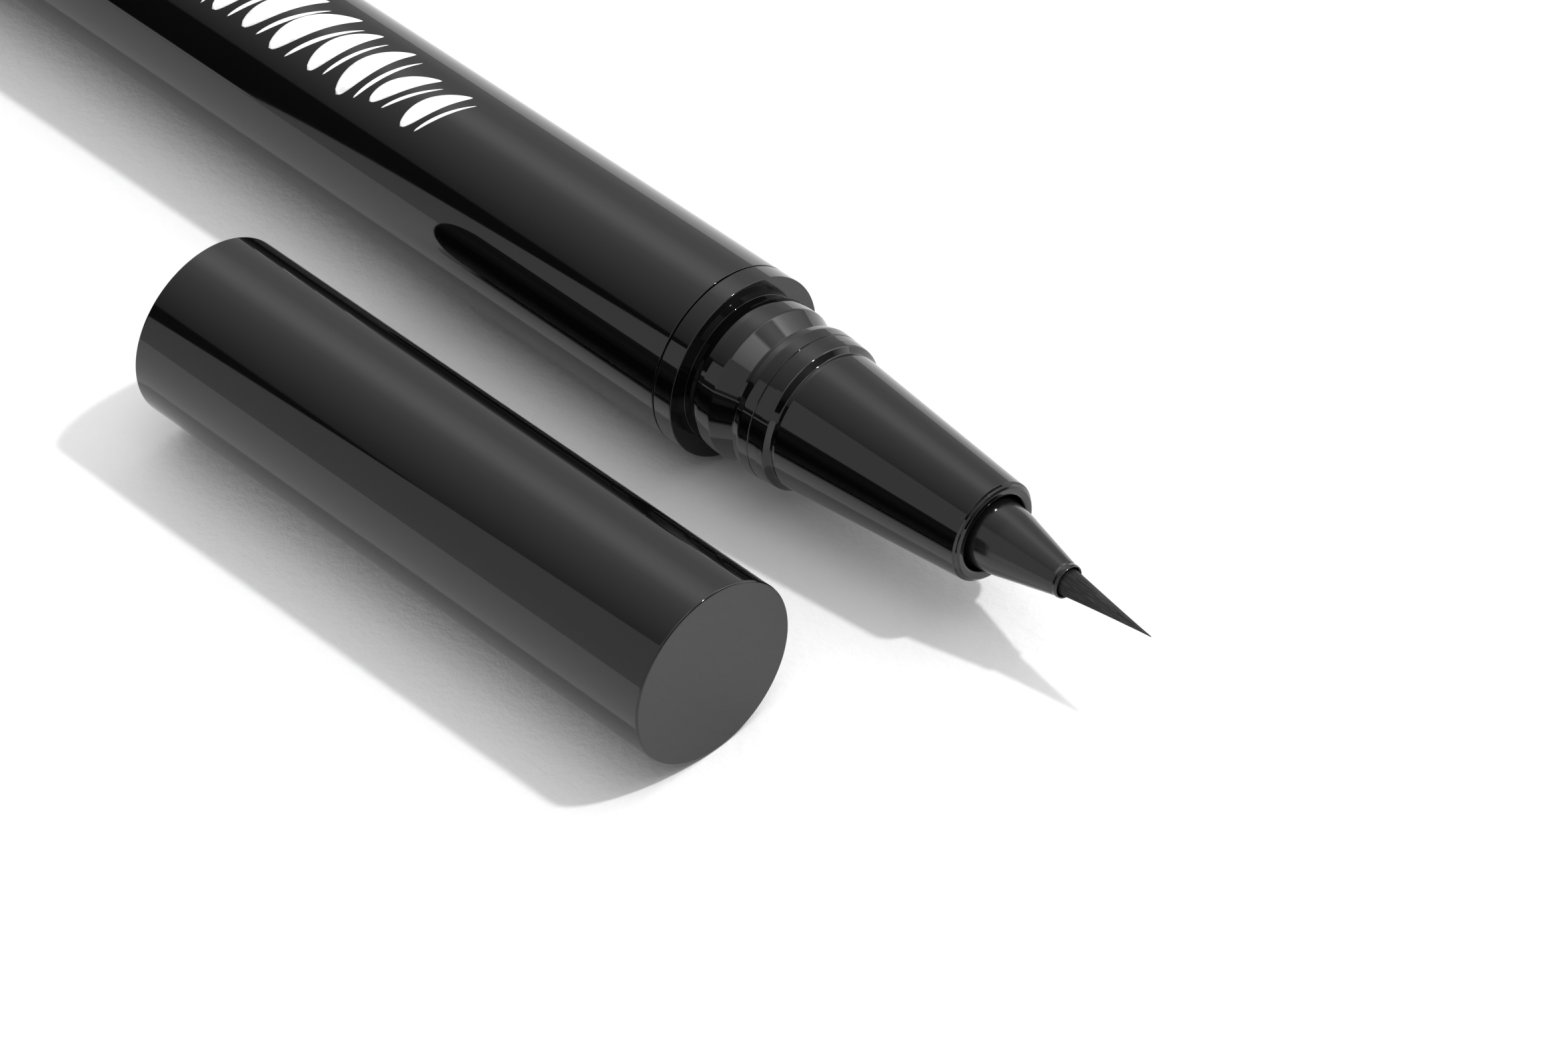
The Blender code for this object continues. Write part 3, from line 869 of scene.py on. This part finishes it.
# %% Printed dabs
def dab_rule():
    rule = Rule(
        "dab_rule",
        dabs="whole",
        pitch="number",
        length="number",
        width="number",
        barrel_radius="number",
        around="number",
        film="number",
        seed="whole",
        material="material",
    )
    given = rule.given
    leaf = rule.node("GeometryNodeMeshGrid", None, {0: 1.0, 1: 1.0, 2: 33, 3: 9})
    x, y, _ = rule.split(rule.node("GeometryNodeInputPosition"))
    share = x + 0.5
    belly = (share ** 0.75 * math.pi).sine() ** 0.7
    bow = (x * x - 0.25) * given["length"] * -0.28
    pinched = rule.joined(x * given["length"], y * belly * given["width"] + bow, 0.0)
    leaf = rule.shaped(leaf, pinched)
    shadow = rule.node("GeometryNodeTransform", None, {0: leaf, "Scale": (0.86, 0.2, 1.0)})
    shift = rule.joined(given["width"] * 0.2, given["width"] * -0.72, 0.0)
    shadow = rule.node("GeometryNodeTransform", None, {0: shadow, "Translation": shift})
    mark = rule.node("GeometryNodeJoinGeometry", None, {0: leaf})
    rule.plug(shadow, mark.socket.node.inputs[0])
    step = rule.joined(given["pitch"] * -1.0, 0.0, 0.0)
    row = rule.node("GeometryNodeMeshLine", None, {"Count": given["dabs"], "Offset": step})
    index = rule.node("GeometryNodeInputIndex")
    order = index / given["dabs"]
    size = (0.62 + (order * 2.4 + 0.35).sine() * 0.42) * rule.chance(0.88, 1.08, given["seed"])
    slant = rule.joined(0.0, 0.0, rule.chance(1.02, 1.3, given["seed"] + 5))
    copies = {
        "Points": row,
        "Instance": mark,
        "Rotation": slant,
        "Scale": rule.joined(size, size, size),
    }
    set_out = rule.node("GeometryNodeInstanceOnPoints", None, copies)
    flat = rule.node("GeometryNodeRealizeInstances", None, {0: set_out})
    x, y, _ = rule.split(rule.node("GeometryNodeInputPosition"))
    angle = given["around"] - y / given["barrel_radius"]
    under = wrapped(rule, flat, x, angle, given["barrel_radius"] - given["film"] * 0.5)
    turned_over = rule.node("GeometryNodeFlipFaces", None, {0: under})
    skin = rule.node(
        "GeometryNodeExtrudeMesh",
        None,
        {0: under, "Offset Scale": given["film"], "Individual": False},
    )
    both = rule.node("GeometryNodeJoinGeometry", None, {0: skin})
    rule.plug(turned_over, both.socket.node.inputs[0])
    closed = rule.node("GeometryNodeMergeByDistance", None, {0: both, "Distance": 0.000001})
    rule.end(closed)
    return rule


def wrapped(rule, geometry, along, angle, radius):
    """Rolls a flat pattern onto a barrel whose axis is X."""
    place = rule.joined(along, radius * angle.cosine(), radius * angle.sine())
    return rule.shaped(geometry, place)


def print_white():
    """Matt white ink, thinner where the pad lifted."""
    finish = Finish("print_white", IOR=1.45)
    spot = finish.place(PEN_DATUM)
    cover = finish.noise(spot, 2600.0, 3.0, 0.6)
    finish.drive("Base Color", finish.grey(finish.fade(cover, 0.25, 0.5, 0.68, 0.86)))
    finish.drive("Roughness", 0.38 + cover * 0.15)
    finish.relief(cover, 0.000003)
    return finish.material


PRINT_START = -25.5
dabs = dab_rule().grow(
    "barrel_print",
    PEN_DATUM + Vector((PRINT_START * MM, 0.0, 0.0)),
    print_white(),
    dabs=15,
    pitch=2.75 * MM,
    length=6.2 * MM,
    width=1.6 * MM,
    barrel_radius=BODY_R * MM,
    around=math.radians(97.0),
    film=0.03 * MM,
    seed=4,
)
attach(dabs, "pen")

# %% [markdown]
# ## The cap
#
# The cap is a long smooth cup. Its mouth has a soft lip, its closed end is a flat disc with a fine
# rounded rim, and inside are the snap bead, a sleeve, and a sprung inner cup that seals the nose.
# The cup slides on its own, so it is a piece of its own body.

# %% Cap, sleeve and inner cup
CAP_FLOOR = CAP_LENGTH - 1.2
CAP_BORE = 5.08
SLEEVE_HOUSING_R = 5.3
SLEEVE_R = 5.2
SLEEVE_BORE = 4.75
CUP_R = 4.62
CUP_BACK_R = 3.6
CUP_END = 34.6

cap_outline = [
    (CAP_LENGTH, 0.0, 0.0),
    (CAP_LENGTH, BODY_R, 0.13),
    (0.0, BODY_R, 0.14),
    (0.0, 5.12, 0.12),
    (3.3, CAP_BORE, 0.2),
    (3.8, 4.88, 0.25),
    (4.3, CAP_BORE, 0.2),
    (8.7, CAP_BORE, 0.05),
    (8.7, SLEEVE_HOUSING_R, 0.05),
    (CAP_FLOOR, SLEEVE_HOUSING_R, 0.3),
    (CAP_FLOOR, 0.0, 0.0),
]
cap = turned("cap_casing", CAP_DATUM, cap_outline, cap_black, closed=False)
attach(cap, "cap", ["cap_shell"])

sleeve_outline = [
    (9.0, 4.45, 0.1),
    (9.0, SLEEVE_R, 0.1),
    (CAP_FLOOR - 0.3, SLEEVE_R, 0.1),
    (CAP_FLOOR - 0.3, SLEEVE_BORE, 0.1),
    (9.8, SLEEVE_BORE, 0.1),
    (9.8, 4.45, 0.1),
]
sleeve = turned("cap_sleeve", CAP_DATUM, sleeve_outline, grey_plastic)
attach(sleeve, "cap", ["cap_liner"])

cup_outline = [
    (CUP_END, 0.0, 0.0),
    (CUP_END, CUP_BACK_R, 0.25),
    (22.0, CUP_BACK_R, 0.3),
    (21.0, CUP_R, 0.3),
    (10.1, CUP_R, 0.12),
    (10.1, 4.3, 0.1),
    (10.5, 4.08, 0.08),
    (12.0, 4.05, 0.2),
    (20.3, 3.5, 0.3),
    (21.0, 3.0, 0.3),
    (33.6, 3.0, 0.3),
    (33.6, 0.0, 0.0),
]
cup = turned("sealing_cup", CAP_DATUM, cup_outline, cup_plastic, closed=False)
attach(cup, "inner_cap", ["inner_cap"])

# %% [markdown]
# ## The spring
#
# A compression spring has its end turns closed up, so that it stands square. The rule starts from an
# even spiral and eases its height near both ends, which gives exactly that. The spring shortens when
# the cup is pushed in; this cell reads how far the cup's joint lets it go, and the coil keeps its
# length.

# %% Spring
def coil_rule():
    rule = Rule(
        "coil_rule",
        turns="number",
        coil_radius="number",
        height="number",
        wire_radius="number",
        material="material",
    )
    given = rule.given
    sockets = {
        "Resolution": 48,
        "Rotations": given["turns"],
        "Start Radius": given["coil_radius"],
        "End Radius": given["coil_radius"],
        "Height": 1.0,
    }
    spiral = rule.node("GeometryNodeCurveSpiral", None, sockets)
    across, up, share = rule.split(rule.node("GeometryNodeInputPosition"))
    eased = share - (share * (2 * math.pi)).sine() * 0.11
    coil = rule.shaped(spiral, rule.joined(eased * given["height"], across, up))
    round_wire = {"Resolution": 12, "Radius": 1.0}
    ring = rule.node("GeometryNodeCurvePrimitiveCircle", None, round_wire)
    wire = rule.node(
        "GeometryNodeCurveToMesh",
        None,
        {"Curve": coil, "Profile Curve": ring, "Scale": given["wire_radius"], "Fill Caps": True},
    )
    rule.end(wire)
    return rule


SPRING_WIRE = 0.2
spring_first, spring_last = stations("inner_cap_spring", CAP_DATUM)
spring = coil_rule().grow(
    "cup_spring",
    CAP_DATUM + Vector(((spring_first + SPRING_WIRE) * MM, 0.0, 0.0)),
    spring_steel,
    turns=6.5,
    coil_radius=2.6 * MM,
    height=(spring_last - spring_first - 2 * SPRING_WIRE) * MM,
    wire_radius=SPRING_WIRE * MM,
)
attach(spring, "cap", ["inner_cap_spring"])
spring_length = spring_last - spring_first
cup_joint = next(joint for joint in frame["joints"] if joint["name"] == "inner_cap_seat")
cup_travel = cup_joint["range_m"][1] / MM
(spring_length - cup_travel) / spring_length
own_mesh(spring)
print(f"spring {spring_length:.1f} mm long, gives way by {cup_travel:.1f} mm")

# %% [markdown]
# ## What is inside the barrel
#
# The ink path is out of sight, but it belongs to the pen. Its parts are turned as well, at the sizes
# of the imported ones. First comes the tank, a thin tube that a plug closes at its rear end.

# %% Ink tank and its plug
TANK_R = 4.9
TANK_BORE = 4.3
STOPPER_FLANGE = 1.0
STOPPER_R = 4.05

tank_first, tank_last = stations("ink_tank")
tank_outline = [
    (tank_first, TANK_BORE, 0.1),
    (tank_first, TANK_R, 0.1),
    (tank_last, TANK_R, 0.1),
    (tank_last, TANK_BORE, 0.1),
]
tank = turned("tank_tube", PEN_DATUM, tank_outline, natural_plastic)
attach(tank, "pen", ["ink_tank"])

stopper_first, stopper_last = stations("tank_plug")
stopper_outline = [
    (stopper_first, 0.0, 0.0),
    (stopper_first, TANK_R, 0.1),
    (stopper_first + STOPPER_FLANGE, TANK_R, 0.1),
    (stopper_first + STOPPER_FLANGE, STOPPER_R, 0.1),
    (stopper_last, STOPPER_R, 0.3),
    (stopper_last, 0.0, 0.0),
]
stopper = turned("tank_stopper", PEN_DATUM, stopper_outline, natural_plastic, closed=False)
attach(stopper, "pen", ["tank_plug"])

# %% [markdown]
# ## The collector
#
# When the air in the tank warms up, it pushes ink out. The collector catches that ink between thin
# fins and gives it back later. The fins are alike and evenly spaced, so a loop adds their corners to
# one turned outline. It has many corners, so it gets fewer steps round the axis.

# %% Collector
FIN_COUNT = 11
FIN_PITCH = 1.15
FIN_THICKNESS = 0.5
FIN_R = 3.95
FIRST_FIN = 0.5
CORE = 2.1
FEED_BORE = 1.05
HEAD_R = 3.0
HEAD_END = 2.4
TAIL_R = 2.4
TAIL_END = -15.0

feed_first, feed_last = stations("collector")
feed_outline = [
    (feed_last, FEED_BORE, 0.05),
    (feed_last, HEAD_R, 0.1),
    (HEAD_END, HEAD_R, 0.1),
    (HEAD_END, CORE, 0.05),
]
for fin in range(FIN_COUNT):
    front = FIRST_FIN - fin * FIN_PITCH
    rear = front - FIN_THICKNESS
    feed_outline += [(front, CORE, 0.05), (front, FIN_R, 0.08)]
    feed_outline += [(rear, FIN_R, 0.08), (rear, CORE, 0.05)]
feed_outline += [
    (TAIL_END, CORE, 0.05),
    (TAIL_END, TAIL_R, 0.1),
    (feed_first, TAIL_R, 0.15),
    (feed_first, FEED_BORE, 0.05),
]
feed = turned("finned_collector", PEN_DATUM, feed_outline, natural_plastic, count=ROUND // 3)
attach(feed, "pen", ["collector"])

# %% [markdown]
# ## The wick, the seals and the steel piece that stirs
#
# A fibre rod leads the ink forward and narrows where it enters the brush. A rubber bush seals the
# tank on the collector's tail, and a ring seals the section in the barrel. A loose steel piece stirs
# the ink when the pen is shaken. The real one is a ball. Here FILLET_SHARE stops its two edges short
# of the full radius, so this outline gives a short drum with rounded ends, inside the ball's box. A
# true ball needs an outline that is a half circle. The ring's section comes out nearly round, for
# the same reason.

# %% Wick, seals and steel piece
WICK_R = 0.85
WICK_NECK = 11.2
WICK_NECK_R = 0.42
BUSH_R = 4.2
BUSH_BORE = 2.5
O_RING_INNER = 4.42
O_RING_OUTER = 5.22

wick_first, wick_last = stations("relay_wick")
wick_outline = [
    (wick_first, 0.0, 0.0),
    (wick_first, WICK_R, 0.1),
    (WICK_NECK, WICK_R, 0.15),
    (WICK_NECK, WICK_NECK_R, 0.05),
    (wick_last - 0.3, WICK_NECK_R, 0.2),
    (wick_last, 0.0, 0.0),
]
wick = turned("fibre_wick", PEN_DATUM, wick_outline, wick_fibre, closed=False)
attach(wick, "pen", ["relay_wick"])

bush_first, bush_last = stations("tank_seal")
bush_outline = [
    (bush_first, BUSH_BORE, 0.1),
    (bush_first, BUSH_R, 0.2),
    (bush_last, BUSH_R, 0.2),
    (bush_last, BUSH_BORE, 0.1),
]
bush = turned("seal_bush", PEN_DATUM, bush_outline, seal_rubber)
attach(bush, "pen", ["tank_seal"])

ring_first, ring_last = stations("section_seal_ring")
ring_r = (ring_last - ring_first) / 2
ring_outline = [
    (ring_first, O_RING_INNER, ring_r),
    (ring_first, O_RING_OUTER, ring_r),
    (ring_last, O_RING_OUTER, ring_r),
    (ring_last, O_RING_INNER, ring_r),
]
o_ring = turned("o_ring", PEN_DATUM, ring_outline, seal_rubber)
attach(o_ring, "pen", ["section_seal_ring"])

ball_low, ball_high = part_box("mixing_ball")
ball_centre = (ball_low + ball_high) / 2
ball_r = (ball_high.z - ball_low.z) / 2 / MM
ball_outline = [
    (-ball_r, 0.0, 0.0),
    (-ball_r, ball_r, ball_r),
    (ball_r, ball_r, ball_r),
    (ball_r, 0.0, 0.0),
]
ball = turned("stirring_ball", ball_centre, ball_outline, ball_steel, closed=False)
attach(ball, "mixing_ball", ["mixing_ball"])

# %% [markdown]
# ## The table
#
# A sheet of smooth white board, wide enough to fill every view. Its fine tooth shows only where it
# lies in shadow.

# %% Table
FLOOR_HALF = 2.5


def white_board():
    finish = Finish("white_board", IOR=1.45)
    spot = finish.place()
    tooth = finish.noise(spot, 1300.0, 4.0, 0.65)
    cloud = finish.noise(spot, 45.0, 2.0)
    finish.drive("Base Color", finish.grey(0.82 + cloud * 0.012 + tooth * 0.03))
    finish.drive("Roughness", 0.7 + tooth * 0.15)
    finish.relief(tooth, 0.00007)
    return finish.material


def make_table():
    half = FLOOR_HALF
    mesh = bpy.data.meshes.new("table")
    corners = [(-half, -half, 0), (half, -half, 0), (half, half, 0), (-half, half, 0)]
    mesh.from_pydata(corners, [], [(0, 1, 2, 3)])
    mesh.materials.append(white_board())
    table = bpy.data.objects.new("table", mesh)
    bpy.context.scene.collection.objects.link(table)


make_table()
print("table ready")

# %% [markdown]
# ## The studio
#
# Gloss is drawn by what stands round it. Over the table hangs a diffuser: it glows brightest in a
# band above the far side, fades towards the camera and ends in a straight edge above a dark room.
# Towards the tip's side the sky gets several times brighter, and far ahead of the tip it is dark
# again. This side fill lights the table and the shadows, and the long sides of the barrel and the cap
# don't mirror it. A flag dims the sky close round the lamp, so that the lamp alone draws the sparks.

# %% Sky of diffusers
SIDE_FILL = 5.7
LAMP_TOWARDS = Vector((0.460, 0.497, 1.0))
FLAG_INNER = math.radians(16)
FLAG_OUTER = math.radians(20)
FLAG_GLOW = 0.3


def studio_sky():
    """Brightness by the angle round the pen's axis: 0 is the far horizon, 180 the near one."""
    world = bpy.data.worlds.new("studio")
    bpy.context.scene.world = world
    world.use_nodes = True
    sky = Sheet(world.node_tree)
    towards = sky.node("ShaderNodeTexCoord", output=0)
    x, y, z = sky.split(towards)
    angle = z.math("ARCTAN2", z, y) / math.pi
    glow = sky.node(
        "ShaderNodeValToRGB",
        {"stops": [
            (0.0, 0.40),
            (0.12, 0.44),
            (0.20, 0.56),
            (0.28, 0.88),
            (0.325, 1.0),
            (0.36, 0.92),
            (0.42, 0.64),
            (0.50, 0.49),
            (0.60, 0.375),
            (0.70, 0.25),
            (0.764, 0.175),
            (0.776, 0.02),
            (1.0, 0.012),
        ]},
        {0: angle},
    )
    rise = sky.fade(x, -0.12, 0.22, 1.55, SIDE_FILL)
    fall = sky.fade(x, 0.4, 0.62, 1.0, 0.08)
    lamp_way = LAMP_TOWARDS.normalized()
    near_lamp = x * lamp_way.x + y * lamp_way.y + z * lamp_way.z
    flag = sky.fade(near_lamp, math.cos(FLAG_OUTER), math.cos(FLAG_INNER), 1.0, FLAG_GLOW)
    fill = rise * fall * flag
    background = world.node_tree.nodes["Background"]
    sky.plug(glow, background.inputs["Color"])
    sky.plug(fill, background.inputs["Strength"])


studio_sky()
print("sky ready")

# %% [markdown]
# ## The lamp and the card
#
# A narrow sun high behind the pen gives the crisp shadows and the sparks on the edges. A glowing
# card stands at the near side. Its left edge leans, and where the barrel and the cap mirror that
# edge, the bright strip along them tapers away. Only reflections need the card, so it is hidden from
# the camera and casts no shadow of its own.

# %% Lamp and card
LAMP_STRENGTH = 1.7
LAMP_WIDTH = math.radians(3.0)
CARD_Y = -0.175
CARD_FOOT_X = -0.170
CARD_TOP_X = -0.124
CARD_END_X = 0.35
CARD_HEIGHT = 0.26
CARD_GLOW = 0.76


def make_lamp():
    lamp = bpy.data.objects.new("lamp", bpy.data.lights.new("lamp", "SUN"))
    lamp.data.energy = LAMP_STRENGTH
    lamp.data.angle = LAMP_WIDTH
    lamp.rotation_mode = "QUATERNION"
    lamp.rotation_quaternion = LAMP_TOWARDS.to_track_quat("Z", "Y")
    bpy.context.scene.collection.objects.link(lamp)


def make_card():
    """A glowing white card on the near side, which the camera and the shadows don't see."""
    near = PEN_DATUM.y + CARD_Y
    foot, top, right = (PEN_DATUM.x + x for x in (CARD_FOOT_X, CARD_TOP_X, CARD_END_X))
    mesh = bpy.data.meshes.new("card")
    corners = [
        (foot, near, 0),
        (right, near, 0),
        (right, near, CARD_HEIGHT),
        (top, near, CARD_HEIGHT),
    ]
    mesh.from_pydata(corners, [], [(0, 1, 2, 3)])
    glow = Finish("card_glow", Roughness=1.0, Emission_Strength=CARD_GLOW)
    glow.shader.inputs["Base Color"].default_value = (0.0, 0.0, 0.0, 1.0)
    glow.shader.inputs["Emission Color"].default_value = (1.0, 1.0, 1.0, 1.0)
    mesh.materials.append(glow.material)
    card = bpy.data.objects.new("card", mesh)
    bpy.context.scene.collection.objects.link(card)
    card.visible_camera = False
    card.visible_shadow = False


make_lamp()
make_card()
bpy.context.scene.view_settings.view_transform = "Standard"
print("lamp and card ready")
